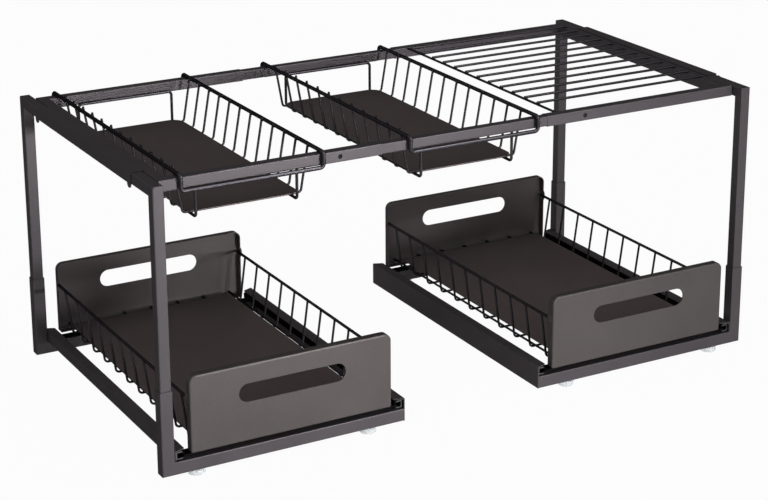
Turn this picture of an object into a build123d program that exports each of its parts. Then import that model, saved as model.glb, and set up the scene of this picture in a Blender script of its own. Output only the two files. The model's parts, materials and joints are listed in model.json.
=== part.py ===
"""An expandable under-sink organizer: two drawers on telescopic slides and two hanging baskets.

Millimetres, +Z up. The origin is on the floor, midway between the four corners of the frame.
The front is -Y and the photographed left is -X. Left and right halves mirror each other, so a
place along the width is given as a distance in from the outer end of its own half, and a place
along the depth as a distance in from the front or the rear face.
"""
from build123d import *
import os

# Overall sizes, measured over the base tubes
overall_width = 790.0
overall_depth = 410.0
frame_height = 333.0
foot_height = 6.0
foot_diameter = 20.0
foot_edge = 1.0

# Square tubes
base_tube = 15.0
base_wall = 0.9
upper_tube = 13.0
upper_wall = 0.6
tube_corner = 1.2
post_clearance = 0.1
telescope_clearance = 0.05

# Base frames
base_length = 303.2
socket_height = 100.0
post_insertion = 80.0
foot_in_from_post = 43.0
foot_in_from_free_end = 45.0

# Slide brackets: sheet-metal angles that carry the drawer slides
bracket_sheet = 1.2
bracket_height = 28.0
bracket_flange = 12.9
bracket_gap_to_post = 0.3
bracket_slant = 5.0
bracket_tip_radius = 1.5

# Drawer slides, three channels nested in each other
slide_sheet = 1.0
slide_height = 11.0
slide_lift = 0.4
slide_gap = 0.1
slide_depth = 5.5
slide_mid_depth = 7.6
slide_nesting = 1.3
slide_stack = 11.0
slide_space = 17.4
slide_end_inset = 3.0
hanger_width = 14.0
hanger_reach = 24.0
hanger_corner = 3.0

# Top frame
rail_recess = 18.0
section_length = 269.7
extension_insertion = 110.0
extension_wall = 0.8
screw_from_section_end = 53.0
screw_diameter = 5.4
screw_recess = 0.1
screw_hole_clearance = 0.1
screw_socket_across = 2.5
screw_socket_depth = 0.3

# Saddles that drop the top frame over the end frames
saddle_sheet = 1.2
saddle_clearance = 0.1
saddle_skirt = 12.5
saddle_front_inset = 58.0
saddle_length = 283.0
lug_width = 10.0
lug_drop = 5.0

# Shelf of wires on the right half
shelf_wire_count = 12
shelf_wire_diameter = 3.2
shelf_first_wire_inset = 67.5
shelf_last_wire_inset = 43.3
shelf_wire_seat = 4.5
shelf_end_wire_diameter = 3.0
shelf_end_wire_inset = 265.0
shelf_overhang = 1.0

# Hanging baskets
basket_width = 175.0
basket_left_inset = 37.0
basket_gap_between = 105.0
basket_rim_wire = 4.8
basket_rim_clearance = 0.3
basket_rim_play = 0.9
basket_rim_drop = 1.5
basket_rim_bend = 4.8
basket_cradle_wire = 3.4
basket_cradle_width = 122.0
basket_cradle_gap = 0.5
basket_cradle_top = 12.2
basket_cradle_bend = 4.5
basket_depth = 52.4
basket_wire = 2.8
basket_wire_count = 12
basket_wire_pitch = 29.1
basket_wire_bend = 4.0
basket_wire_above_rim = 0.6
basket_side_taper = 9.8
basket_floor_sheet = 1.0
basket_floor_width = 136.0
basket_floor_length = 334.0
basket_floor_corner = 15.0
weld_gap = 0.05

# Drawers
drawer_proud = 1.8
drawer_rear_gap = 0.5
drawer_bottom = 22.0
drawer_height = 91.0
panel_sheet = 1.2
panel_return = 10.0
panel_top_radius = 9.0
panel_foot_radius = 2.5
panel_edge_radius = 2.0
slot_length = 133.0
slot_height = 22.0
slot_below_top = 33.5
drawer_rail_wire = 3.6
drawer_rail_below_top = 29.0
drawer_rail_inset = 2.2
drawer_rail_end_inset = 5.0
swelling_rise = 2.0
swelling_reach = 7.0
drawer_wire = 2.8
drawer_wire_count = 11
drawer_wire_pitch = 35.5
drawer_wire_lift = 4.2
drawer_wire_bend = 5.0
drawer_side_taper = 7.8
drawer_long_wire_count = 7
drawer_long_wire_pitch = 36.8
drawer_long_wire_shift = 0.6
drawer_floor_sheet = 1.2
drawer_floor_width = 218.0
drawer_floor_shift = 3.0
drawer_floor_length = 383.0
drawer_floor_corner = 3.0

# Cutting bodies run this far past what they cut
overrun = 1.0

# Places worked out from the sizes above
half_width = overall_width / 2
half_depth = overall_depth / 2
base_low = foot_height
base_top = base_low + base_tube
frame_top = base_low + frame_height
upper_axis_z = frame_top - upper_tube / 2
bracket_top = base_low + bracket_height
post_axis_inset = base_tube / 2
wall_inset = base_tube + bracket_gap_to_post
saddle_outer_width = upper_tube + 2 * saddle_clearance + 2 * saddle_sheet
cross_tube_inset = post_axis_inset + saddle_outer_width / 2
section_axis_inset = cross_tube_inset + upper_tube / 2
section_end_inset = cross_tube_inset + section_length
rail_axis_inset = rail_recess + upper_tube / 2
extension_tube = upper_tube - 2 * upper_wall - 2 * telescope_clearance
extension_length = 2 * (half_width - section_end_inset + extension_insertion)
slide_axis_z = base_top + slide_lift + slide_height / 2
drawer_inset = wall_inset + bracket_sheet + slide_space
drawer_width = base_length - bracket_sheet - slide_space - drawer_inset
drawer_inset_to_axis = drawer_inset + drawer_width / 2
drawer_length = overall_depth + drawer_proud - drawer_rear_gap
drawer_front = -half_depth - drawer_proud
drawer_low = base_low + drawer_bottom
drawer_top = drawer_low + drawer_height

LEFT, RIGHT = -1, 1
FRONT, REAR = -1, 1
side_names = {LEFT: "left", RIGHT: "right"}
end_names = {FRONT: "front", REAR: "rear"}


def along(side, inset):
    """The x of a place that lies inset from the outer end of the left or right half."""
    return side * (half_width - inset)


def across(end, inset):
    """The y of a place that lies inset from the front or rear face of the frame."""
    return end * (half_depth - inset)


def square_tube(start, finish, size, wall, start_meets=None, finish_meets=None):
    """A square tube between two points on its axis.

    Where an end meets another tube at a mitre, it is given that tube's direction away from the
    corner. The end then runs past the corner and is cut back on the plane between the two.
    """
    run = Vector(*finish) - Vector(*start)
    heading = run.normalized()
    upright = Vector(0, 0, 1)
    sideways = Vector(1, 0, 0) if abs(heading.dot(upright)) > abs(heading.X) + abs(heading.Y) else upright
    before = size / 2 if start_meets else 0
    beyond = size / 2 if finish_meets else 0
    with BuildPart() as tube:
        with BuildSketch(Plane(origin=Vector(*start) - heading * before, x_dir=sideways, z_dir=heading)):
            RectangleRounded(size, size, tube_corner)
            bore = size - 2 * wall
            RectangleRounded(bore, bore, tube_corner - wall / 2, mode=Mode.SUBTRACT)
        extrude(amount=run.length + before + beyond)
        if start_meets:
            split(bisect_by=Plane(origin=start, z_dir=Vector(*start_meets) - heading), keep=Keep.BOTTOM)
        if finish_meets:
            split(bisect_by=Plane(origin=finish, z_dir=Vector(*finish_meets) + heading), keep=Keep.BOTTOM)
    return tube.part


def bent_wire(points, diameter, bend):
    """A round wire along straight runs joined by arcs of one bend radius."""
    with BuildPart() as wire:
        with BuildLine() as path:
            if len(points) == 2:
                Line(*points)
            else:
                FilletPolyline(*points, radius=bend)
        with BuildSketch(Plane(origin=path.line @ 0, z_dir=path.line % 0)):
            Circle(diameter / 2)
        sweep()
    return wire.part


def wire_loop(centre_x, half_run, front_y, rear_y, run_z, side_z, diameter, bend):
    """A closed loop of wire with two runs along X at one level and two sides along Y at another."""
    with BuildPart() as loop:
        for side in (LEFT, RIGHT):
            corner_x = centre_x + side * half_run
            add(bent_wire([
                (centre_x, front_y, run_z),
                (corner_x, front_y, run_z),
                (corner_x, front_y, side_z),
                (corner_x, rear_y, side_z),
                (corner_x, rear_y, run_z),
                (centre_x, rear_y, run_z),
            ], diameter, bend))
    return loop.part


def keep(part, name):
    """Labels a finished piece and writes its file."""
    part.label = name
    export_step(part, f"parts/{name}.step")


def base_rail(side, end):
    """A bottom rail: mitred to its socket at the post, butted on the bracket at the free end."""
    y = across(end, post_axis_inset)
    z = base_low + base_tube / 2
    corner = (along(side, post_axis_inset), y, z)
    free_end = (along(side, base_length - bracket_sheet), y, z)
    return square_tube(free_end, corner, base_tube, base_wall, finish_meets=(0, 0, 1))


def post_socket(side, end):
    """The short upright that the post plugs into, mitred to the bottom rail."""
    x = along(side, post_axis_inset)
    y = across(end, post_axis_inset)
    top = (x, y, base_low + socket_height)
    corner = (x, y, base_low + base_tube / 2)
    return square_tube(top, corner, base_tube, base_wall, finish_meets=(-side, 0, 0))


def slide_bracket(side, at_post):
    """A sheet angle whose wall carries the slide and whose flange covers it.

    At the post it stands on the rails. At the free end its wall also closes the rail ends.
    """
    if at_post:
        wall_x = along(side, wall_inset)
        inward = -side
        wall_low = base_top
    else:
        wall_x = along(side, base_length)
        inward = side
        wall_low = base_low
    with BuildPart() as bracket:
        with BuildSketch(Plane.XZ.offset(half_depth)):
            with BuildLine():
                Polyline(
                    (wall_x, wall_low),
                    (wall_x, bracket_top),
                    (wall_x + inward * bracket_flange, bracket_top),
                    (wall_x + inward * bracket_flange, bracket_top - bracket_sheet),
                    (wall_x + inward * bracket_sheet, bracket_top - bracket_sheet),
                    (wall_x + inward * bracket_sheet, wall_low),
                    close=True,
                )
            make_face()
        extrude(amount=-overall_depth)
        for end in (FRONT, REAR):
            with BuildSketch(Plane.XY.offset(bracket_top + overrun)):
                with BuildLine():
                    face_y = across(end, 0)
                    Polyline(
                        (wall_x + inward * bracket_sheet, face_y),
                        (wall_x + inward * bracket_flange, face_y - end * bracket_slant),
                        (wall_x + inward * (bracket_flange + overrun), face_y - end * bracket_slant),
                        (wall_x + inward * (bracket_flange + overrun), face_y + end * overrun),
                        (wall_x + inward * bracket_sheet, face_y + end * overrun),
                        close=True,
                    )
                make_face()
            extrude(amount=-bracket_sheet - 2 * overrun, mode=Mode.SUBTRACT)
        tips = bracket.edges().filter_by(Axis.Z).group_by(Axis.X)[-1 if inward > 0 else 0]
        fillet(tips, radius=bracket_tip_radius)
    return bracket.part


def channel(wall_x, inward, near, far, height, web_near):
    """A straight channel of slide sheet along Y, with its web at its near or its far side."""
    middle = wall_x + inward * (near + far) / 2
    width = far - near
    web_shift = inward * slide_sheet / 2 * (1 if web_near else -1)
    with BuildPart() as slide:
        with BuildSketch(Plane.XZ.offset(half_depth - slide_end_inset)):
            with Locations((middle, slide_axis_z)):
                Rectangle(width, height)
            with Locations((middle + web_shift, slide_axis_z)):
                Rectangle(width - slide_sheet, height - 2 * slide_sheet, mode=Mode.SUBTRACT)
        extrude(amount=-(overall_depth - 2 * slide_end_inset))
    return slide.part


def hanger(wall_x, inward, start_y, top):
    """A flat bar from the web of a drawer member to under the drawer, bent down along the web."""
    face_x = wall_x + inward * slide_stack
    web_x = face_x - inward * slide_sheet
    tip_x = face_x + inward * hanger_reach
    with BuildPart() as bar:
        with BuildSketch(Plane.XZ.offset(-start_y)):
            with BuildLine():
                Polyline(
                    (web_x, slide_axis_z),
                    (web_x, top),
                    (tip_x, top),
                    (tip_x, top - slide_sheet),
                    (face_x, top - slide_sheet),
                    (face_x, slide_axis_z),
                    close=True,
                )
            make_face()
        extrude(amount=-hanger_width)
        tip = bar.edges().filter_by(Axis.Z).group_by(Axis.X)[-1 if inward > 0 else 0]
        fillet(tip, radius=hanger_corner)
    return bar.part


def slide_pair(side, stage):
    """The same member of the two slides of one drawer: fixed, middle or drawer member.

    A drawer member has two hangers: one under the front panel and one under the last cross wire.
    """
    mid_height = slide_height - 2 * slide_sheet - 2 * slide_gap
    members = {
        "fixed": (0, slide_depth, slide_height, True),
        "middle": (slide_nesting, slide_nesting + slide_mid_depth, mid_height, True),
        "drawer": (
            2 * slide_nesting,
            slide_stack,
            mid_height - 2 * slide_sheet - 2 * slide_gap,
            False,
        ),
    }
    near, far, height, web_near = members[stage]
    under_panel = drawer_low - weld_gap
    under_wires = drawer_wire_z - drawer_wire / 2 - weld_gap
    last_wire_y = drawer_middle_y + row(drawer_wire_count, drawer_wire_pitch)[-1]
    with BuildPart() as pair:
        for wall_inset_x, inward in ((wall_inset + bracket_sheet, -side), (base_length - bracket_sheet, side)):
            wall_x = along(side, wall_inset_x)
            add(channel(wall_x, inward, near, far, height, web_near))
            if stage == "drawer":
                add(hanger(wall_x, inward, across(FRONT, 0), under_panel))
                add(hanger(wall_x, inward, last_wire_y - hanger_width / 2, under_wires))
    return pair.part


def base_feet(side):
    """Four soft pads under the bottom rails of one base."""
    places = [
        (along(side, inset), across(end, post_axis_inset), foot_height)
        for inset in (foot_in_from_post, base_length - foot_in_from_free_end)
        for end in (FRONT, REAR)
    ]
    with BuildPart() as feet:
        with Locations(*places):
            Cylinder(foot_diameter / 2, foot_height, align=(Align.CENTER, Align.CENTER, Align.MAX))
        soles = feet.edges().filter_by(GeomType.CIRCLE).group_by(Axis.Z)[0]
        chamfer(soles, length=foot_edge)
    return feet.part


def upper_post(side, end):
    """A post that plugs into its socket and is mitred to the top tube of the end frame."""
    x = along(side, post_axis_inset)
    y = across(end, post_axis_inset)
    foot = (x, y, base_low + socket_height - post_insertion)
    return square_tube(foot, (x, y, upper_axis_z), upper_tube, upper_wall, finish_meets=(0, -end, 0))


def end_tube(side):
    """The top tube of an end frame, mitred to both posts."""
    x = along(side, post_axis_inset)
    front = (x, across(FRONT, post_axis_inset), upper_axis_z)
    rear = (x, across(REAR, post_axis_inset), upper_axis_z)
    down = (0, 0, -1)
    return square_tube(front, rear, upper_tube, upper_wall, start_meets=down, finish_meets=down)


def saddle(side):
    """A channel that drops over the end tube, with a rounded lug at each end of its outer skirt.

    The two saddles are one part turned half round, so the long lug is at the rear on the left.
    """
    centre_x = along(side, post_axis_inset)
    long_end = -side
    plate_start = long_end * (saddle_front_inset - half_depth)
    plate_end = plate_start + long_end * saddle_length
    plate_middle = (plate_start + plate_end) / 2
    skirt_low = frame_top - saddle_skirt
    bore = upper_tube + 2 * saddle_clearance
    outer_skirt = Plane(origin=(centre_x + side * saddle_outer_width / 2, 0, 0), z_dir=(-side, 0, 0), x_dir=(0, 1, 0))
    up = 1 if outer_skirt.y_dir.Z > 0 else -1
    with BuildPart() as cap:
        with BuildSketch(Plane.XY.offset(skirt_low)):
            with Locations((centre_x, plate_middle)):
                Rectangle(saddle_outer_width, saddle_length)
        extrude(amount=saddle_skirt + saddle_sheet)
        with BuildSketch(Plane.XY.offset(skirt_low)):
            with Locations((centre_x, plate_middle)):
                Rectangle(bore, saddle_length + 2 * overrun)
        extrude(amount=saddle_skirt, mode=Mode.SUBTRACT)
        with BuildSketch(outer_skirt):
            for lug_start in (plate_start, plate_end):
                middle = lug_start + long_end * lug_width / 2
                with Locations((middle, up * (skirt_low + (saddle_skirt - lug_drop) / 2))):
                    SlotOverall(saddle_skirt + lug_drop, lug_width, rotation=90)
        extrude(amount=saddle_sheet)
    return cap.part


def section_cross_tube(side):
    """The tube that closes the outer end of a top section, mitred to its two rails."""
    x = along(side, section_axis_inset)
    front = (x, across(FRONT, rail_axis_inset), upper_axis_z)
    rear = (x, across(REAR, rail_axis_inset), upper_axis_z)
    inward = (-side, 0, 0)
    return square_tube(front, rear, upper_tube, upper_wall, start_meets=inward, finish_meets=inward)


def screw_x(side):
    """The x of the lock screws of one section."""
    return along(side, section_end_inset - screw_from_section_end)


def section_rail(side, end):
    """A front or rear rail of a top section, open at its inner end, with a screw hole outside."""
    y = across(end, rail_axis_inset)
    mouth = (along(side, section_end_inset), y, upper_axis_z)
    corner = (along(side, section_axis_inset), y, upper_axis_z)
    with BuildPart() as rail:
        add(square_tube(mouth, corner, upper_tube, upper_wall, finish_meets=(0, -end, 0)))
        with BuildSketch(Plane(origin=(screw_x(side), across(end, rail_recess), upper_axis_z), z_dir=(0, -end, 0))):
            Circle(screw_diameter / 2 + screw_hole_clearance)
        extrude(amount=2 * upper_wall, mode=Mode.SUBTRACT)
    return rail.part


def extension_rail(end):
    """The smaller tube that slides in the front or rear rails of both sections."""
    y = across(end, rail_axis_inset)
    reach = extension_length / 2
    return square_tube((-reach, y, upper_axis_z), (reach, y, upper_axis_z), extension_tube, extension_wall)


def lock_screws(side):
    """The two set screws that press on the extension tubes of one section, sunk in their holes."""
    with BuildPart() as screws:
        for end in (FRONT, REAR):
            place = (screw_x(side), across(end, rail_recess + screw_recess), upper_axis_z)
            face = Plane(origin=place, z_dir=(0, end, 0))
            with BuildSketch(face):
                Circle(screw_diameter / 2)
            extrude(amount=screw_recess - upper_wall)
            with BuildSketch(face):
                RegularPolygon(screw_socket_across / 2, 6, major_radius=False)
            extrude(amount=-screw_socket_depth, mode=Mode.SUBTRACT)
    return screws.part


def shelf_wires():
    """The wires of the right half's shelf and the end wire that their inner ends lie on."""
    inner_x = along(RIGHT, shelf_end_wire_inset)
    outer_x = along(RIGHT, cross_tube_inset + upper_tube - shelf_wire_seat)
    start_x = inner_x - shelf_end_wire_diameter / 2 - shelf_overhang
    end_wire_reach = half_depth - rail_recess - upper_tube
    wire_z = frame_top + weld_gap + shelf_wire_diameter / 2
    first_y = across(FRONT, shelf_first_wire_inset)
    pitch = (across(REAR, shelf_last_wire_inset) - first_y) / (shelf_wire_count - 1)
    places = [(first_y + step * pitch, 0) for step in range(shelf_wire_count)]
    with BuildPart() as shelf:
        with BuildSketch(Plane(origin=(start_x, 0, wire_z), x_dir=(0, 1, 0), z_dir=(1, 0, 0))):
            with Locations(*places):
                Circle(shelf_wire_diameter / 2)
        extrude(amount=outer_x - start_x)
        end_wire_z = frame_top - shelf_end_wire_diameter / 2
        with BuildSketch(Plane.XZ.offset(end_wire_reach)):
            with Locations((inner_x, end_wire_z)):
                Circle(shelf_end_wire_diameter / 2)
        extrude(amount=-2 * end_wire_reach)
    return shelf.part


rim_axis_z = frame_top + basket_rim_clearance + basket_rim_wire / 2
rim_run_z = frame_top - upper_tube - basket_rim_drop
rim_reach = half_depth - rail_recess + basket_rim_play + basket_rim_wire / 2
rim_half_width = basket_width / 2 - basket_rim_wire / 2
basket_low_z = frame_top - basket_depth
cradle_reach = half_depth - rail_recess - upper_tube - basket_cradle_gap - basket_cradle_wire / 2
basket_wire_z = basket_low_z + basket_cradle_wire / 2 + basket_wire / 2 + weld_gap
basket_floor_z = basket_wire_z + basket_wire / 2 + weld_gap


def basket_rim(centre_x):
    """The rim: its sides lie over the rails, and its ends hang in front of and behind them."""
    return wire_loop(
        centre_x, rim_half_width, -rim_reach, rim_reach, rim_run_z, rim_axis_z, basket_rim_wire, basket_rim_bend
    )


def basket_cradle(centre_x):
    """The hoop that runs inside the rails, down four legs and under the wires of the basket."""
    return wire_loop(
        centre_x,
        basket_cradle_width / 2,
        -cradle_reach,
        cradle_reach,
        frame_top - basket_cradle_top,
        basket_low_z,
        basket_cradle_wire,
        basket_cradle_bend,
    )


def row(count, pitch):
    """Evenly spaced places, centred on zero."""
    return [(step - (count - 1) / 2) * pitch for step in range(count)]


def basket_wires(centre_x):
    """The cross wires: down from inside one side of the rim, under the floor and up to the other."""
    top_z = rim_axis_z + basket_rim_wire / 2 + basket_wire_above_rim
    top_half = rim_half_width - basket_rim_wire / 2 - basket_wire / 2 - weld_gap
    low_half = top_half - basket_side_taper
    with BuildPart() as wires:
        for y in row(basket_wire_count, basket_wire_pitch):
            add(bent_wire([
                (centre_x - top_half, y, top_z),
                (centre_x - low_half, y, basket_wire_z),
                (centre_x + low_half, y, basket_wire_z),
                (centre_x + top_half, y, top_z),
            ], basket_wire, basket_wire_bend))
    return wires.part


def basket_floor(centre_x):
    """The flat plate that lies on the cross wires."""
    with BuildPart() as floor:
        with BuildSketch(Plane.XY.offset(basket_floor_z)):
            with Locations((centre_x, 0)):
                RectangleRounded(basket_floor_width, basket_floor_length, basket_floor_corner)
        extrude(amount=basket_floor_sheet)
    return floor.part


drawer_rear = drawer_front + drawer_length
drawer_rail_z = drawer_top - drawer_rail_below_top
drawer_wire_z = drawer_low + drawer_wire_lift
drawer_long_wire_z = drawer_wire_z + drawer_wire + weld_gap
drawer_floor_z = drawer_long_wire_z + drawer_wire / 2 + weld_gap
drawer_middle_y = (drawer_front + drawer_rear) / 2


def swelling(side_x, hand, mouth_y, end, hollow):
    """The cap of a ball that swells a panel's return outwards at its mouth, round a side wire's end.

    It is the outside of the swelling, or the hollow within, which runs past the sheet and the mouth.
    The ball is turned so that its seam lies away from the cap.
    """
    ball = (swelling_reach**2 + swelling_rise**2) / (2 * swelling_rise)
    depth = panel_sheet if hollow else 0
    past_mouth = overrun if hollow else 0
    bite = panel_sheet + overrun if hollow else panel_sheet / 2
    length = ball + past_mouth
    middle_x = side_x + hand * (swelling_rise - bite) / 2
    middle_y = mouth_y + end * (ball - past_mouth) / 2
    with BuildPart() as cap:
        with Locations((side_x - hand * (ball - swelling_rise), mouth_y, drawer_rail_z)):
            Sphere(ball - depth, rotation=(0, 0, -end * 90))
        with Locations((middle_x, middle_y, drawer_rail_z)):
            Box(swelling_rise + bite, length, 2 * ball, mode=Mode.INTERSECT)
    return cap.part


def drawer_panel(side, end):
    """A front or rear panel: a shallow tray of sheet, open inwards, with an oval hand slot.

    Its returns swell a little where the side wires are welded into them. It is made on the centre
    line of the frame and then moved to its own drawer.
    """
    face_y = drawer_front if end == FRONT else drawer_rear
    inwards = Plane(origin=(0, face_y, 0), x_dir=(1, 0, 0), z_dir=(0, -end, 0))
    up = 1 if inwards.y_dir.Z > 0 else -1
    with BuildPart() as panel:
        with BuildSketch(inwards):
            with Locations((0, up * (drawer_low + drawer_height / 2))):
                Rectangle(drawer_width, drawer_height)
        extrude(amount=panel_return)
        uprights = panel.edges().filter_by(Axis.Y)
        fillet(uprights.group_by(Axis.Z)[-1], radius=panel_top_radius)
        uprights = panel.edges().filter_by(Axis.Y)
        fillet(uprights.group_by(Axis.Z)[0], radius=panel_foot_radius)
        outer_face = panel.faces().sort_by(Axis.Y)[0 if end == FRONT else -1]
        fillet(outer_face.edges(), radius=panel_edge_radius)
        inner_face = panel.faces().sort_by(Axis.Y)[-1 if end == FRONT else 0]
        offset(amount=-panel_sheet, openings=inner_face)
        mouth_y = face_y - end * panel_return
        for hand in (LEFT, RIGHT):
            side_x = hand * drawer_width / 2
            add(swelling(side_x, hand, mouth_y, end, hollow=False))
            add(swelling(side_x, hand, mouth_y, end, hollow=True), mode=Mode.SUBTRACT)
        with BuildSketch(inwards):
            with Locations((0, up * (drawer_top - slot_below_top))):
                SlotOverall(slot_length, slot_height)
        extrude(amount=panel_sheet + overrun, mode=Mode.SUBTRACT)
    return panel.part.moved(Location((along(side, drawer_inset_to_axis), 0, 0)))


def drawer_side_rails(side):
    """The two top side wires, whose ends lie in the swellings of the panels' returns."""
    centre_x = along(side, drawer_inset_to_axis)
    rail_half = drawer_width / 2 - drawer_rail_inset
    start_y = drawer_front + drawer_rail_end_inset
    with BuildPart() as rails:
        with BuildSketch(Plane.XZ.offset(-start_y)):
            with Locations((centre_x - rail_half, drawer_rail_z), (centre_x + rail_half, drawer_rail_z)):
                Circle(drawer_rail_wire / 2)
        extrude(amount=2 * drawer_rail_end_inset - drawer_length)
    return rails.part


def drawer_cross_wires(side):
    """The wires that form both sides of the drawer and pass under its floor."""
    centre_x = along(side, drawer_inset_to_axis)
    top_half = drawer_width / 2 - drawer_rail_inset
    low_half = top_half - drawer_side_taper
    top_z = drawer_rail_z - drawer_rail_wire / 2 - weld_gap
    with BuildPart() as wires:
        for step in row(drawer_wire_count, drawer_wire_pitch):
            y = drawer_middle_y + step
            add(bent_wire([
                (centre_x - top_half, y, top_z),
                (centre_x - low_half, y, drawer_wire_z),
                (centre_x + low_half, y, drawer_wire_z),
                (centre_x + top_half, y, top_z),
            ], drawer_wire, drawer_wire_bend))
    return wires.part


def drawer_long_wires(side):
    """The wires under the floor that tie the front panel to the rear panel.

    They are set towards the free side, where the outermost one lies beside the floor plate.
    """
    centre_x = along(side, drawer_inset_to_axis + drawer_long_wire_shift)
    reach = drawer_length / 2 - panel_sheet - weld_gap
    with BuildPart() as wires:
        with BuildSketch(Plane.XZ.offset(reach - drawer_middle_y)):
            with Locations(*[(centre_x + step, drawer_long_wire_z)
                             for step in row(drawer_long_wire_count, drawer_long_wire_pitch)]):
                Circle(drawer_wire / 2)
        extrude(amount=-2 * reach)
    return wires.part


def drawer_floor(side):
    """The flat plate that lies on the long wires, clear of both panels and set towards the post."""
    centre_x = along(side, drawer_inset_to_axis - drawer_floor_shift)
    with BuildPart() as floor:
        with BuildSketch(Plane.XY.offset(drawer_floor_z)):
            with Locations((centre_x, drawer_middle_y)):
                RectangleRounded(drawer_floor_width, drawer_floor_length, drawer_floor_corner)
        extrude(amount=drawer_floor_sheet)
    return floor.part


os.makedirs("parts", exist_ok=True)

for side, half in side_names.items():
    for end, place in end_names.items():
        keep(base_rail(side, end), f"{half}_{place}_base_rail")
        keep(post_socket(side, end), f"{half}_{place}_post_socket")
        keep(upper_post(side, end), f"{half}_{place}_post")
        keep(section_rail(side, end), f"{half}_{place}_top_rail")
        keep(drawer_panel(side, end), f"{half}_drawer_{place}_panel")
    keep(slide_bracket(side, at_post=True), f"{half}_post_side_bracket")
    keep(slide_bracket(side, at_post=False), f"{half}_free_side_bracket")
    keep(base_feet(side), f"{half}_base_feet")
    keep(end_tube(side), f"{half}_end_tube")
    keep(saddle(side), f"{half}_saddle")
    keep(section_cross_tube(side), f"{half}_section_cross_tube")
    keep(lock_screws(side), f"{half}_lock_screws")
    for stage in ("fixed", "middle", "drawer"):
        keep(slide_pair(side, stage), f"{half}_slide_{stage}_members")
    keep(drawer_side_rails(side), f"{half}_drawer_side_rails")
    keep(drawer_cross_wires(side), f"{half}_drawer_cross_wires")
    keep(drawer_long_wires(side), f"{half}_drawer_long_wires")
    keep(drawer_floor(side), f"{half}_drawer_floor")

for end, place in end_names.items():
    keep(extension_rail(end), f"{place}_extension_tube")
keep(shelf_wires(), "shelf_wires")

left_basket_x = along(LEFT, basket_left_inset + basket_width / 2)
right_basket_x = left_basket_x + basket_width + basket_gap_between
for half, centre_x in (("left", left_basket_x), ("right", right_basket_x)):
    keep(basket_rim(centre_x), f"{half}_basket_rim")
    keep(basket_cradle(centre_x), f"{half}_basket_cradle")
    keep(basket_wires(centre_x), f"{half}_basket_cross_wires")
    keep(basket_floor(centre_x), f"{half}_basket_floor")
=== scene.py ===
"""Looks of an expandable under-sink organizer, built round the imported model.

Metres, +Z up, the front is -Y and the photographed left is -X. The frame, drawers and baskets are
steel under a charcoal satin powder coat. The slides are black, with middle members of black
zinc-plated steel, and the feet are soft clear plastic.
"""
import json
import math

import bmesh
import bpy
import numpy as np
from mathutils import Matrix, Vector


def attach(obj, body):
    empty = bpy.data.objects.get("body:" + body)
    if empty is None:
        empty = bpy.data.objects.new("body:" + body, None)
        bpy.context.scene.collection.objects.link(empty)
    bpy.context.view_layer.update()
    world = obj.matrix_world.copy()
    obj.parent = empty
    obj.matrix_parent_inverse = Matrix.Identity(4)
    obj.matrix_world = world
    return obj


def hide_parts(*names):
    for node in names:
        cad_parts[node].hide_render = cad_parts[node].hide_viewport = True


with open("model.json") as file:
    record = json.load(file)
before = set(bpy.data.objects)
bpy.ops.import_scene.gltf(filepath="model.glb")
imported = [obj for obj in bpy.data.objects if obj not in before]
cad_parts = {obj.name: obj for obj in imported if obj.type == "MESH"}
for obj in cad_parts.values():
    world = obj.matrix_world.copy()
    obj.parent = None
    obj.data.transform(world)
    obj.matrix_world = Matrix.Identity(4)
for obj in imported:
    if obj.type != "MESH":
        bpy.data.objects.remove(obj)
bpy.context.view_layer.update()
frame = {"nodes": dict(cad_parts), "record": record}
scene = bpy.context.scene
nodes = frame["nodes"]

MM = 0.001
SIDES = {"left": -1, "right": 1}
ENDS = {"front": -1, "rear": 1}
body_of_node = {
    name: body for body, names in frame["record"]["behaviour"]["bodies"].items() for name in names
}

# Sizes of the organizer in millimetres, as its pieces are built
HALF_WIDTH, HALF_DEPTH = 395.0, 205.0
BASE_TUBE, UPPER_TUBE = 15.0, 13.0
FRAME_TOP = 339.0
UPPER_AXIS_Z = FRAME_TOP - UPPER_TUBE / 2
RAIL_FACE_Y = 187.0
RAIL_WALL = 0.6
FOOT_INSETS = (43.0, 258.2)
FOOT_PROFILE = (
    (8.0, 0), (9.0, 0.12), (9.7, 0.55), (10.0, 1.3), (9.9, 2.4), (9.75, 3.4), (9.8, 4.3),
    (9.6, 5.0), (9.0, 5.6), (8.0, 5.9), (6.0, 6.0),
)
FOOT_SEGMENTS = 40
SCREW_X = 163.0
SCREW_RADIUS, SCREW_SUNK, SCREW_OFF_THE_BORE = 2.7, 0.1, 0.02
SCREW_EDGE = ((0, -0.22), (0.1, -0.06), (0.3, 0))
SCREW_SEGMENTS = 36
HEX_ACROSS, HEX_DEPTH, HEX_LIP, HEX_EDGE = 2.6, 0.38, 0.12, 0.1

RIM_HALF, RIM_Z, RIM_WIRE = 85.1, 341.7, 4.8
CRADLE_HALF, CRADLE_LOW_Z, CRADLE_WIRE = 61.0, 286.6, 3.4
BASKET_CENTRES = {"left": -270.5, "right": 9.5}
BASKET_WIRE, BASKET_WIRES, BASKET_PITCH = 2.8, 12, 29.1
BASKET_TOP_HALF, BASKET_LOW_HALF = 81.25, 71.45
BASKET_WIRE_TOP_Z, BASKET_WIRE_LOW_Z = 344.7, 289.75

DRAWER_INSET_TO_AXIS = 159.25
DRAWER_FRONT_Y, DRAWER_REAR_Y = -206.8, 204.5
PANEL_SHEET = 1.2
SIDE_RAIL_HALF, SIDE_RAIL_Z, SIDE_RAIL_WIRE = 123.15, 90.0, 3.6
DRAWER_WIRE, DRAWER_WIRES, DRAWER_PITCH, DRAWER_WIRE_Z = 2.8, 11, 35.5, 32.2
LONG_WIRES, LONG_PITCH, LONG_SHIFT, LONG_Z = 7, 36.8, 0.6, 35.05

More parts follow.
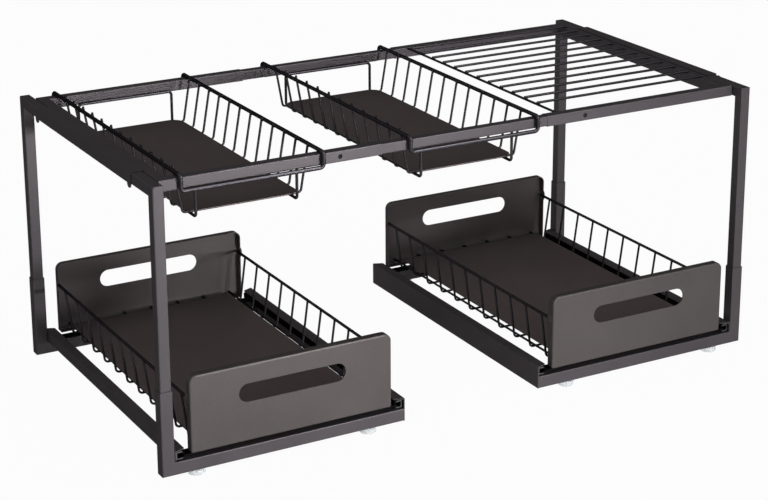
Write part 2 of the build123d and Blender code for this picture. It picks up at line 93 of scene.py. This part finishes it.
SHELF_WIRE, SHELF_WIRES = 3.2, 12
SHELF_FIRST_Y, SHELF_LAST_Y = -137.5, 161.7
SHELF_INNER_X, SHELF_OUTER_X = 127.5, 371.2
SHELF_END_WIRE_X = 130.0

# Weld beads are flattened balls, as half sizes across the width, the depth and the height.
# A weld gap parts each wire from what it is welded to, and the beads bridge it. The cut ends of
# the wires are domed, and the domes of the basket wires are sunk a little into their wires.
WELD_GAP = 0.05
WIRE_TIP_DOME, BASKET_TIP_SUNK = 0.55, 0.05
BEAD_AT_RIM, BEAD_UNDER_BASKET = (0.8, 1.75, 1.9), (1.9, 1.75, 0.75)
BEAD_UNDER_SIDE_RAIL, SIDE_RAIL_BEAD_DROP = (1.75, 1.75, 0.9), 0.1
BEAD_AT_CROSSING, BEAD_AT_PANEL = (1.75, 1.75, 0.7), (2.3, 0.9, 2.1)
BEAD_ON_END_WIRE = (1.9, 2.0, 0.8)
BEAD_ON_CROSS_TUBE, CROSS_TUBE_BEAD_INSET, CROSS_TUBE_BEAD_RISE = (1.9, 2.2, 0.55), 1.6, 0.1
BEAD_AT_RAIL, RAIL_BEAD_DROP = (2.1, 0.8, 1.5), 1.5

# How far each sheet piece's edges are broken, and in how many steps
EASED_PIECES = {
    "post_side_bracket": (0.3, 2),
    "free_side_bracket": (0.3, 2),
    "saddle": (0.3, 2),
    "drawer_floor": (0.45, 3),
    "basket_floor": (0.4, 3),
    "slide_fixed_members": (0.04, 1),
    "slide_middle_members": (0.04, 1),
    "slide_drawer_members": (0.04, 1),
}
# Corners within the merge reach become one, and so do faces within the flat angle. Edges over the
# sharp angle are shaded sharp, and edges over the eased angle are broken.
MERGE_REACH = 0.002
FLAT_ANGLE, SHARP_ANGLE, EASED_ANGLE = math.radians(1), math.radians(35), math.radians(40)


# Camera

IMAGE_WIDTH, IMAGE_HEIGHT = 768, 500
FOCAL_PIXELS = 2064.0
SENSOR = 36.0
CAMERA_PLACE = Vector((-1.1755, -2.1082, 1.0110))
CAMERA_AZIMUTH = math.radians(-29.06)
CAMERA_ELEVATION = math.radians(17.18)
CAMERA_ROLL = math.radians(-0.24)
CAMERA_SHIFT_PIXELS = 100.0
NEAREST, FARTHEST = 0.05, 50


def add_camera():
    """Places the camera behind its view direction, turned by azimuth, elevation and roll."""
    azimuth, elevation = CAMERA_AZIMUTH, CAMERA_ELEVATION
    back = Vector((
        math.sin(azimuth) * math.cos(elevation),
        -math.cos(azimuth) * math.cos(elevation),
        math.sin(elevation),
    ))
    right = Vector((0, 0, 1)).cross(back).normalized()
    up = back.cross(right)
    turned_right = right * math.cos(CAMERA_ROLL) + up * math.sin(CAMERA_ROLL)
    turned_up = up * math.cos(CAMERA_ROLL) - right * math.sin(CAMERA_ROLL)
    camera = bpy.data.cameras.new("camera")
    camera.sensor_width = SENSOR
    camera.lens = FOCAL_PIXELS * SENSOR / IMAGE_WIDTH
    camera.shift_y = -CAMERA_SHIFT_PIXELS / IMAGE_WIDTH
    camera.clip_start, camera.clip_end = NEAREST, FARTHEST
    holder = bpy.data.objects.new("camera", camera)
    turn = Matrix((turned_right, turned_up, back)).transposed().to_4x4()
    holder.matrix_world = Matrix.Translation(CAMERA_PLACE) @ turn
    scene.collection.objects.link(holder)
    scene.camera = holder


# Light, floor and background

SURROUND_STRENGTH = 0.29
FLOOR_REACH = 12
FLOOR_WHITE = 0.93
FLOOR_ROUGHNESS = 0.9
FLOOR_GLOW_SHARE = 0.965


def add_lamp(name, place, target, size, power, spread=180, only_gloss=False):
    """A soft lamp that faces its target. Its spread is in degrees, and it may show in the gloss alone."""
    lamp = bpy.data.lights.new(name, "AREA")
    lamp.shape = "RECTANGLE"
    lamp.size, lamp.size_y = size
    lamp.energy = power
    lamp.spread = math.radians(spread)
    holder = bpy.data.objects.new(name, lamp)
    holder.location = place
    holder.rotation_mode = "QUATERNION"
    holder.rotation_quaternion = (Vector(target) - Vector(place)).to_track_quat("-Z", "Y")
    holder.visible_camera = False
    holder.visible_diffuse = not only_gloss
    scene.collection.objects.link(holder)


def seen_directly(tree):
    """1 where a camera, glossy or transmission ray looks, and 0 for light that falls on the object."""
    path = tree.nodes.new("ShaderNodeLightPath")
    first = tree.nodes.new("ShaderNodeMath")
    first.operation = "MAXIMUM"
    tree.links.new(path.outputs["Is Camera Ray"], first.inputs[0])
    tree.links.new(path.outputs["Is Glossy Ray"], first.inputs[1])
    second = tree.nodes.new("ShaderNodeMath")
    second.operation = "MAXIMUM"
    tree.links.new(first.outputs[0], second.inputs[0])
    tree.links.new(path.outputs["Is Transmission Ray"], second.inputs[1])
    return second.outputs[0]


def add_world():
    """A soft grey surround that the camera and the gloss see as white."""
    world = bpy.data.worlds.new("studio")
    scene.world = world
    world.use_nodes = True
    tree = world.node_tree
    tree.nodes.clear()
    soft = tree.nodes.new("ShaderNodeBackground")
    soft.inputs["Color"].default_value = (1, 1, 1, 1)
    soft.inputs["Strength"].default_value = SURROUND_STRENGTH
    white = tree.nodes.new("ShaderNodeBackground")
    white.inputs["Color"].default_value = (1, 1, 1, 1)
    white.inputs["Strength"].default_value = 1
    mix = tree.nodes.new("ShaderNodeMixShader")
    out = tree.nodes.new("ShaderNodeOutputWorld")
    tree.links.new(seen_directly(tree), mix.inputs["Fac"])
    tree.links.new(soft.outputs[0], mix.inputs[1])
    tree.links.new(white.outputs[0], mix.inputs[2])
    tree.links.new(mix.outputs[0], out.inputs["Surface"])


def floor_sheet(reach):
    """A square sheet on z = 0: the corners (+-reach, +-reach, 0)."""
    mesh = bpy.data.meshes.new("floor")
    corners = [(-reach, -reach, 0), (reach, -reach, 0), (reach, reach, 0), (-reach, reach, 0)]
    mesh.from_pydata(corners, [], [(0, 1, 2, 3)])
    holder = bpy.data.objects.new("floor", mesh)
    scene.collection.objects.link(holder)
    return holder


def add_floor():
    """A plain white floor. Most of what is seen of it is its own glow, and the rest keeps the shadow."""
    floor = floor_sheet(FLOOR_REACH)
    material = bpy.data.materials.new("floor white")
    material.use_nodes = True
    tree = material.node_tree
    shader = tree.nodes["Principled BSDF"]
    shader.inputs["Base Color"].default_value = (FLOOR_WHITE, FLOOR_WHITE, FLOOR_WHITE, 1)
    shader.inputs["Roughness"].default_value = FLOOR_ROUGHNESS
    shader.inputs["Specular IOR Level"].default_value = 0
    glow = tree.nodes.new("ShaderNodeEmission")
    glow.inputs["Strength"].default_value = 1
    share = tree.nodes.new("ShaderNodeMath")
    share.operation = "MULTIPLY"
    share.inputs[1].default_value = FLOOR_GLOW_SHARE
    mix = tree.nodes.new("ShaderNodeMixShader")
    tree.links.new(seen_directly(tree), share.inputs[0])
    tree.links.new(share.outputs[0], mix.inputs["Fac"])
    tree.links.new(shader.outputs[0], mix.inputs[1])
    tree.links.new(glow.outputs[0], mix.inputs[2])
    tree.links.new(mix.outputs[0], tree.nodes["Material Output"].inputs["Surface"])
    floor.data.materials.append(material)


# Materials

class Recipe:
    """A material under construction: its node tree, its main shader and its object coordinates."""

    def __init__(self, name):
        self.material = bpy.data.materials.new(name)
        self.material.use_nodes = True
        self.tree = self.material.node_tree
        self.shader = self.tree.nodes["Principled BSDF"]
        self.place = self.tree.nodes.new("ShaderNodeTexCoord").outputs["Object"]

    def node(self, kind, **values):
        """A new node of a kind, with its settings."""
        made = self.tree.nodes.new(kind)
        for name, value in values.items():
            setattr(made, name, value)
        return made

    def link(self, source, target):
        """Joins an output to an input."""
        self.tree.links.new(source, target)

    def set(self, **values):
        """Sets constants on the shader, named as its sockets with underscores for spaces."""
        for name, value in values.items():
            self.shader.inputs[name.replace("_", " ")].default_value = value

    def noise(self, scale, detail=2.0, stretch=None):
        """Noise over the object's own coordinates, stretched per axis when asked."""
        made = self.node("ShaderNodeTexNoise")
        made.inputs["Scale"].default_value = scale
        made.inputs["Detail"].default_value = detail
        source = self.place
        if stretch:
            mapping = self.node("ShaderNodeMapping")
            mapping.inputs["Scale"].default_value = stretch
            self.link(source, mapping.inputs["Vector"])
            source = mapping.outputs["Vector"]
        self.link(source, made.inputs["Vector"])
        return made.outputs["Fac"]

    def remap(self, source, low, high, from_low=0.3, from_high=0.7):
        """Carries a value from one range to another, clamped."""
        made = self.node("ShaderNodeMapRange")
        made.inputs["From Min"].default_value = from_low
        made.inputs["From Max"].default_value = from_high
        made.inputs["To Min"].default_value = low
        made.inputs["To Max"].default_value = high
        self.link(source, made.inputs["Value"])
        return made.outputs["Result"]

    def blend(self, factor, first, second):
        """Mixes two colours by a factor."""
        made = self.node("ShaderNodeMix", data_type="RGBA")
        self.link(factor, made.inputs["Factor"])
        for value, socket in ((first, made.inputs[6]), (second, made.inputs[7])):
            if isinstance(value, tuple):
                socket.default_value = (*value, 1)
            else:
                self.link(value, socket)
        return made.outputs[2]

    def bump(self, height, strength, distance, under=None):
        """Relief from a height, in metres, over any relief under it."""
        made = self.node("ShaderNodeBump")
        made.inputs["Strength"].default_value = strength
        made.inputs["Distance"].default_value = distance
        self.link(height, made.inputs["Height"])
        if under is not None:
            self.link(under, made.inputs["Normal"])
        return made.outputs["Normal"]


def powder_coat(name, colour, mottled, roughness, sheen_share):
    """Satin powder coat: orange peel in two sizes, a faint cloudiness and uneven gloss.

    The sheen share is how much of the surface mirrors with the coat's own dark colour. No clear
    gloss lies over it, so tops and sides seen at a low angle stay dark.
    """
    coat = Recipe(name)
    clouds = coat.remap(coat.noise(14, detail=3), 0, 1, 0.35, 0.65)
    specks = coat.remap(coat.noise(2600, detail=1), 0, 1, 0.58, 0.78)
    cloudy = coat.blend(clouds, colour, mottled)
    speck_colour = tuple(min(1, value * 1.5) for value in mottled)
    coat.link(coat.blend(specks, cloudy, speck_colour), coat.shader.inputs["Base Color"])
    smears = coat.remap(coat.noise(55, detail=2), roughness - 0.02, roughness + 0.03, 0.15, 0.85)
    coat.link(smears, coat.shader.inputs["Roughness"])
    coat.set(Metallic=sheen_share, Specular_IOR_Level=0, Specular_Tint=(0, 0, 0, 1))
    wide = coat.bump(coat.noise(650, detail=2), 0.25, 0.00012)
    fine = coat.bump(coat.noise(2200, detail=1), 0.15, 0.00005, under=wide)
    coat.link(fine, coat.shader.inputs["Normal"])
    return coat.material


def dark_zinc_steel():
    """Black zinc-plated strip: dark, with drawing lines along the slide and cloudy passivation."""
    steel = Recipe("black zinc steel")
    lines = steel.noise(1, detail=3, stretch=(2600, 14, 2600))
    tone = steel.remap(lines, 0, 1, 0.3, 0.7)
    clouds = steel.remap(steel.noise(60, detail=4), 0, 1)
    drawn = steel.blend(tone, (0.085, 0.086, 0.090), (0.130, 0.131, 0.136))
    steel.link(steel.blend(clouds, drawn, (0.105, 0.103, 0.104)), steel.shader.inputs["Base Color"])
    steel.link(steel.remap(lines, 0.28, 0.42), steel.shader.inputs["Roughness"])
    steel.set(Metallic=0.85)
    steel.link(steel.bump(lines, 0.2, 0.00004), steel.shader.inputs["Normal"])
    return steel.material


def clear_pad():
    """Soft clear vinyl with a faint blue tint, cloudy inside and slightly frosted outside."""
    pad = Recipe("clear vinyl pad")
    clouds = pad.remap(pad.noise(120, detail=3), 0, 1)
    pad.link(pad.blend(clouds, (0.84, 0.89, 0.94), (0.92, 0.95, 0.98)), pad.shader.inputs["Base Color"])
    pad.link(pad.remap(pad.noise(300, detail=2), 0.24, 0.34), pad.shader.inputs["Roughness"])
    pad.set(Transmission_Weight=0.6, IOR=1.42)
    return pad.material


def black_screw():
    """Black oxide steel: nearly black, semi-matt, with fine turning marks."""
    oxide = Recipe("black oxide steel")
    marks = oxide.noise(3200, detail=2)
    oxide.link(oxide.blend(oxide.remap(marks, 0, 1), (0.004, 0.004, 0.004), (0.010, 0.010, 0.011)),
               oxide.shader.inputs["Base Color"])
    oxide.link(oxide.remap(marks, 0.3, 0.45), oxide.shader.inputs["Roughness"])
    oxide.set(Metallic=0.3, Specular_IOR_Level=0.15)
    oxide.link(oxide.bump(marks, 0.15, 0.00004), oxide.shader.inputs["Normal"])
    return oxide.material


frame_coat = powder_coat("frame coat", (0.101, 0.091, 0.098), (0.112, 0.101, 0.108), 0.33, 0.14)
panel_coat = powder_coat("panel coat", (0.108, 0.095, 0.096), (0.120, 0.106, 0.107), 0.32, 0.14)
# The floor plates carry the same charcoal coat, drawn lighter here: painted light standing in for the
# light their tops catch.
lit_plate_coat = powder_coat("plate coat with painted light", (0.152, 0.124, 0.125), (0.160, 0.131, 0.132), 0.30, 0.16)
wire_coat = powder_coat("wire coat", (0.036, 0.033, 0.038), (0.044, 0.041, 0.046), 0.27, 0.45)
slide_coat = powder_coat("slide coat", (0.010, 0.010, 0.011), (0.014, 0.014, 0.015), 0.33, 0.40)
black_zinc = dark_zinc_steel()
pad_vinyl = clear_pad()
oxide = black_screw()


def finish_for(name):
    """The material of a node, by the node's name."""
    if "feet" in name:
        return pad_vinyl
    if "lock_screws" in name:
        return oxide
    if "slide_fixed" in name or "slide_drawer" in name:
        return slide_coat
    if "slide_middle" in name:
        return black_zinc
    if "panel" in name:
        return panel_coat
    if name.endswith("_floor"):
        return lit_plate_coat
    if "wires" in name or "rim" in name or "cradle" in name or "side_rails" in name:
        return wire_coat
    return frame_coat


def dress_nodes():
    """Gives every node its finish."""
    for name, holder in nodes.items():
        holder.data.materials.clear()
        holder.data.materials.append(finish_for(name))


# Arrays into meshes. A shape is (points, quads, triangles) in millimetres.

def band(rows, columns):
    """Quads between rings, with the corners (r, c), (r, c + 1), (r + 1, c + 1) and (r + 1, c)."""
    ring = np.arange(rows - 1)[:, None] * columns
    here = np.arange(columns)[None, :]
    after = (here + 1) % columns
    quads = np.stack([ring + here, ring + after, ring + columns + after, ring + columns + here], -1)
    return quads.reshape(-1, 4)


def capped(rings, first_pole, last_pole):
    """A closed shape: rings from the first pole to the last, with a fan of triangles at each pole."""
    rows, columns = rings.shape[:2]
    points = np.concatenate([rings.reshape(-1, 3), [first_pole], [last_pole]])
    here = np.arange(columns)
    after = (here + 1) % columns
    low = np.stack([np.full(columns, rows * columns), after, here], -1)
    high = np.stack([
        np.full(columns, rows * columns + 1), (rows - 1) * columns + here, (rows - 1) * columns + after,
    ], -1)
    return points, band(rows, columns), np.concatenate([low, high])


def ball(rings, segments):
    """A unit ball. Ring k is at the angle pi k / (rings + 1) from the low pole."""
    fall = np.pi * np.arange(1, rings + 1)[:, None] / (rings + 1)
    turn = 2 * np.pi * np.arange(segments)[None, :] / segments
    grid = np.stack([
        np.sin(fall) * np.cos(turn), np.sin(fall) * np.sin(turn), -np.cos(fall) * np.ones_like(turn),
    ], -1)
    return capped(grid, (0, 0, -1), (0, 0, 1))


def turned(profile, segments):
    """A profile of (radius, height) turned about Z: the points (r cos t, r sin t, height)."""
    profile = np.array(profile, float)
    turn = 2 * np.pi * np.arange(segments) / segments
    radius = profile[:, :1]
    rings = np.stack([
        radius * np.cos(turn), radius * np.sin(turn), profile[:, 1:] * np.ones(segments),
    ], -1)
    return capped(rings, (0, 0, profile[0, 1]), (0, 0, profile[-1, 1]))


def copies(shape, places, frames):
    """The shape at many places: its point p becomes M p + c, with M and c from the frames and places."""
    points, quads, triangles = shape
    places = np.array(places, float).reshape(-1, 3)
    frames = np.broadcast_to(np.array(frames, float), (len(places), 3, 3))
    moved = np.einsum("nij,pj->npi", frames, points) + places[:, None, :]
    step = (len(points) * np.arange(len(places)))[:, None, None]
    quads = (quads[None] + step).reshape(-1, 4)
    triangles = (triangles[None] + step).reshape(-1, 3)
    return moved.reshape(-1, 3), quads, triangles


def joined(*shapes):
    """Several shapes as one."""
    points, quads, triangles, start = [], [], [], 0
    for shape_points, shape_quads, shape_triangles in shapes:
        points.append(shape_points)
        quads.append(shape_quads + start)
        triangles.append(shape_triangles + start)
        start += len(shape_points)
    return np.concatenate(points), np.concatenate(quads), np.concatenate(triangles)


def add_piece(name, shape, finish, body):
    """Puts a shape into a smooth mesh that rides on a body, with its finish."""
    points, quads, triangles = shape
    mesh = bpy.data.meshes.new(name)
    mesh.vertices.add(len(points))
    mesh.vertices.foreach_set("co", (points * MM).astype(np.float32).ravel())
    corners = np.concatenate([quads.ravel(), triangles.ravel()]).astype(np.int32)
    starts = np.concatenate([
        np.arange(len(quads)) * 4, len(quads) * 4 + np.arange(len(triangles)) * 3,
    ]).astype(np.int32)
    mesh.loops.add(len(corners))
    mesh.loops.foreach_set("vertex_index", corners)
    mesh.polygons.add(len(starts))
    mesh.polygons.foreach_set("loop_start", starts)
    mesh.update(calc_edges=True)
    mesh.validate()
    mesh.shade_smooth()
    mesh.materials.append(finish)
    holder = bpy.data.objects.new(name, mesh)
    scene.collection.objects.link(holder)
    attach(holder, body)
    return holder


def steps(count, pitch):
    """Evenly spaced places, centred on zero."""
    return (np.arange(count) - (count - 1) / 2) * pitch


def mesh_places(*axes):
    """Every combination of the given coordinates, as rows of x, y, z."""
    return np.stack(np.meshgrid(*axes, indexing="ij"), -1).reshape(-1, 3)


# Pieces that the CAD leaves plain

def ease_edges(name, reach, layers):
    """A copy of a sheet piece with its sharp edges broken, in place of the plain one."""
    shell = bmesh.new()
    shell.from_mesh(nodes[name].data)
    bmesh.ops.remove_doubles(shell, verts=shell.verts, dist=MERGE_REACH * MM)
    bmesh.ops.dissolve_limit(
        shell, angle_limit=FLAT_ANGLE, verts=shell.verts, edges=shell.edges, delimit={"NORMAL"}
    )
    mesh = bpy.data.meshes.new(name + "_eased")
    shell.to_mesh(mesh)
    shell.free()
    if "custom_normal" in mesh.attributes:
        mesh.attributes.remove(mesh.attributes["custom_normal"])
    mesh.shade_smooth()
    mesh.set_sharp_from_angle(angle=SHARP_ANGLE)
    mesh.materials.clear()
    mesh.materials.append(finish_for(name))
    holder = bpy.data.objects.new(name + "_eased", mesh)
    scene.collection.objects.link(holder)
    easing = holder.modifiers.new("eased edges", "BEVEL")
    easing.width = reach * MM
    easing.segments = layers
    easing.limit_method = "ANGLE"
    easing.angle_limit = EASED_ANGLE
    easing.harden_normals = True
    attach(holder, body_of_node[name])
    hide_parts(name)


def add_feet():
    """Soft pads, turned from a profile with a rolled edge, a slight waist and a domed shoulder."""
    pad = turned(FOOT_PROFILE, FOOT_SEGMENTS)
    for half, side in SIDES.items():
        places = [
            (side * (HALF_WIDTH - inset), end * (HALF_DEPTH - BASE_TUBE / 2), 0)
            for inset in FOOT_INSETS for end in ENDS.values()
        ]
        feet = add_piece(
            f"{half}_moulded_feet", copies(pad, places, np.eye(3)), pad_vinyl, f"{half}_half"
        )
        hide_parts(f"{half}_base_feet")


def hexagon(turn):
    """The reach of a hexagon of unit half-width at each angle: 1 / cos(angle from the nearest flat)."""
    return 1 / np.cos((turn + np.pi / 6) % (np.pi / 3) - np.pi / 6)


def set_screw():
    """A set screw seen end on: a turned edge, a flat face and a hexagonal socket sunk into it.

    The rows are rings of (radius, height, 0 for a circle or 1 for the hexagon). A ring's point is
    (r h cos t, r h sin t, height), where h is 1 on a circle and the hexagon's reach on the socket.
    """
    deep = RAIL_WALL - SCREW_SUNK - SCREW_OFF_THE_BORE
    edge = [(SCREW_RADIUS - inset, height, 0) for inset, height in SCREW_EDGE]
    rows = [
        (SCREW_RADIUS, -deep, 0), *edge, (HEX_ACROSS / 2 + HEX_LIP, 0, 1),
        (HEX_ACROSS / 2, -HEX_EDGE, 1), (HEX_ACROSS / 2, -HEX_DEPTH, 1),
    ]
    turn = 2 * np.pi * np.arange(SCREW_SEGMENTS) / SCREW_SEGMENTS
    level = np.ones(SCREW_SEGMENTS)
    rings = np.stack([
        np.stack([radius * np.cos(turn), radius * np.sin(turn), height * level], -1)
        * np.stack([hexagon(turn), hexagon(turn), level], -1) ** flat
        for radius, height, flat in rows
    ])
    return capped(rings, (0, 0, -deep), (0, 0, -HEX_DEPTH))


def add_lock_screws():
    """The four set screws, their sockets facing outwards at the front and the rear."""
    outward = {
        -1: np.array([[1, 0, 0], [0, 0, -1], [0, 1, 0]]),
        1: np.array([[1, 0, 0], [0, 0, 1], [0, -1, 0]]),
    }
    screw = set_screw()
    for half, side in SIDES.items():
        places = [
            (side * SCREW_X, end * (RAIL_FACE_Y - SCREW_SUNK), UPPER_AXIS_Z) for end in ENDS.values()
        ]
        frames = [outward[end] for end in ENDS.values()]
        screws = add_piece(
            f"{half}_set_screws", copies(screw, places, frames), oxide, f"{half}_half"
        )
        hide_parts(f"{half}_lock_screws")


def add_basket_welds(half, bead):
    """Flattened beads where the cross wires meet the rim and the cradle, and domed wire tips."""
    centre_x = BASKET_CENTRES[half]
    along_y = steps(BASKET_WIRES, BASKET_PITCH)
    lean = (BASKET_TOP_HALF - BASKET_LOW_HALF) / (BASKET_WIRE_TOP_Z - BASKET_WIRE_LOW_Z)
    wire_x = BASKET_TOP_HALF - lean * (BASKET_WIRE_TOP_Z - RIM_Z)
    contact = (wire_x + BASKET_WIRE / 2 + RIM_HALF - RIM_WIRE / 2) / 2
    at_rim = mesh_places([centre_x - contact, centre_x + contact], along_y, [RIM_Z])
    under = mesh_places(
        [centre_x - CRADLE_HALF, centre_x + CRADLE_HALF], along_y, [CRADLE_LOW_Z + CRADLE_WIRE / 2]
    )
    tips = []
    for side in SIDES.values():
        upright = np.array([side * lean, 0, 1]) / math.hypot(lean, 1)
        across = np.array([upright[2], 0, -upright[0]])
        turn = np.stack([across, [0, 1, 0], upright], -1)
        tip_z = BASKET_WIRE_TOP_Z - BASKET_TIP_SUNK
        places = mesh_places([centre_x + side * BASKET_TOP_HALF], along_y, [tip_z])
        tips.append(copies(bead, places, turn * [BASKET_WIRE / 2, BASKET_WIRE / 2, WIRE_TIP_DOME]))
    shape = joined(
        copies(bead, at_rim, np.diag(BEAD_AT_RIM)),
        copies(bead, under, np.diag(BEAD_UNDER_BASKET)),
        *tips,
    )
    add_piece(f"{half}_basket_welds", shape, wire_coat, f"{half}_basket")


def add_drawer_welds(half, side, bead):
    """Beads under the side rails, over the cross wires and where the long wires meet the panels."""
    centre_x = side * (HALF_WIDTH - DRAWER_INSET_TO_AXIS)
    middle_y = (DRAWER_FRONT_Y + DRAWER_REAR_Y) / 2
    cross_y = middle_y + steps(DRAWER_WIRES, DRAWER_PITCH)
    long_x = centre_x - side * LONG_SHIFT + steps(LONG_WIRES, LONG_PITCH)
    rail_bead_z = SIDE_RAIL_Z - SIDE_RAIL_WIRE / 2 - SIDE_RAIL_BEAD_DROP
    under_rails = mesh_places(
        [centre_x - SIDE_RAIL_HALF, centre_x + SIDE_RAIL_HALF], cross_y, [rail_bead_z]
    )
    crossings = mesh_places(long_x, cross_y, [DRAWER_WIRE_Z + DRAWER_WIRE / 2])
    faces = [DRAWER_FRONT_Y + PANEL_SHEET, DRAWER_REAR_Y - PANEL_SHEET]
    at_panels = mesh_places(long_x, faces, [LONG_Z])
    shape = joined(
        copies(bead, under_rails, np.diag(BEAD_UNDER_SIDE_RAIL)),
        copies(bead, crossings, np.diag(BEAD_AT_CROSSING)),
        copies(bead, at_panels, np.diag(BEAD_AT_PANEL)),
    )
    add_piece(f"{half}_drawer_welds", shape, wire_coat, f"{half}_drawer")


def add_shelf_welds(bead):
    """Beads of the shelf wires on their end wire and on the cross tube, and their domed tips."""
    rows_y = np.linspace(SHELF_FIRST_Y, SHELF_LAST_Y, SHELF_WIRES)
    wire_z = FRAME_TOP + WELD_GAP + SHELF_WIRE / 2
    on_end_wire = mesh_places([SHELF_END_WIRE_X], rows_y, [FRAME_TOP])
    on_tube = mesh_places(
        [SHELF_OUTER_X - CROSS_TUBE_BEAD_INSET], rows_y, [FRAME_TOP + CROSS_TUBE_BEAD_RISE]
    )
    tips = mesh_places([SHELF_INNER_X, SHELF_OUTER_X], rows_y, [wire_z])
    rail_inner_y = RAIL_FACE_Y - UPPER_TUBE
    at_rails = mesh_places(
        [SHELF_END_WIRE_X], [-rail_inner_y, rail_inner_y], [FRAME_TOP - RAIL_BEAD_DROP]
    )
    shape = joined(
        copies(bead, on_end_wire, np.diag(BEAD_ON_END_WIRE)),
        copies(bead, on_tube, np.diag(BEAD_ON_CROSS_TUBE)),
        copies(bead, tips, np.diag([WIRE_TIP_DOME, SHELF_WIRE / 2, SHELF_WIRE / 2])),
        copies(bead, at_rails, np.diag(BEAD_AT_RAIL)),
    )
    add_piece("shelf_welds", shape, wire_coat, "right_half")


add_camera()
add_world()
add_floor()
add_lamp("front softbox", (0.5, -2.0, 0.13), (-0.25, -0.2, 0.27), (0.5, 0.2), 3.9, spread=60)
add_lamp("edge lamp", (0.95, -1.7, 1.9), (0, 0, 0.2), (0.6, 0.6), 90, only_gloss=True)
dress_nodes()

for half in SIDES:
    for name, (reach, layers) in EASED_PIECES.items():
        ease_edges(f"{half}_{name}", reach, layers)
add_feet()
add_lock_screws()
weld = ball(3, 10)
for half, side in SIDES.items():
    add_basket_welds(half, weld)
    add_drawer_welds(half, side, weld)
add_shelf_welds(weld)

scene.view_settings.view_transform = "Standard"
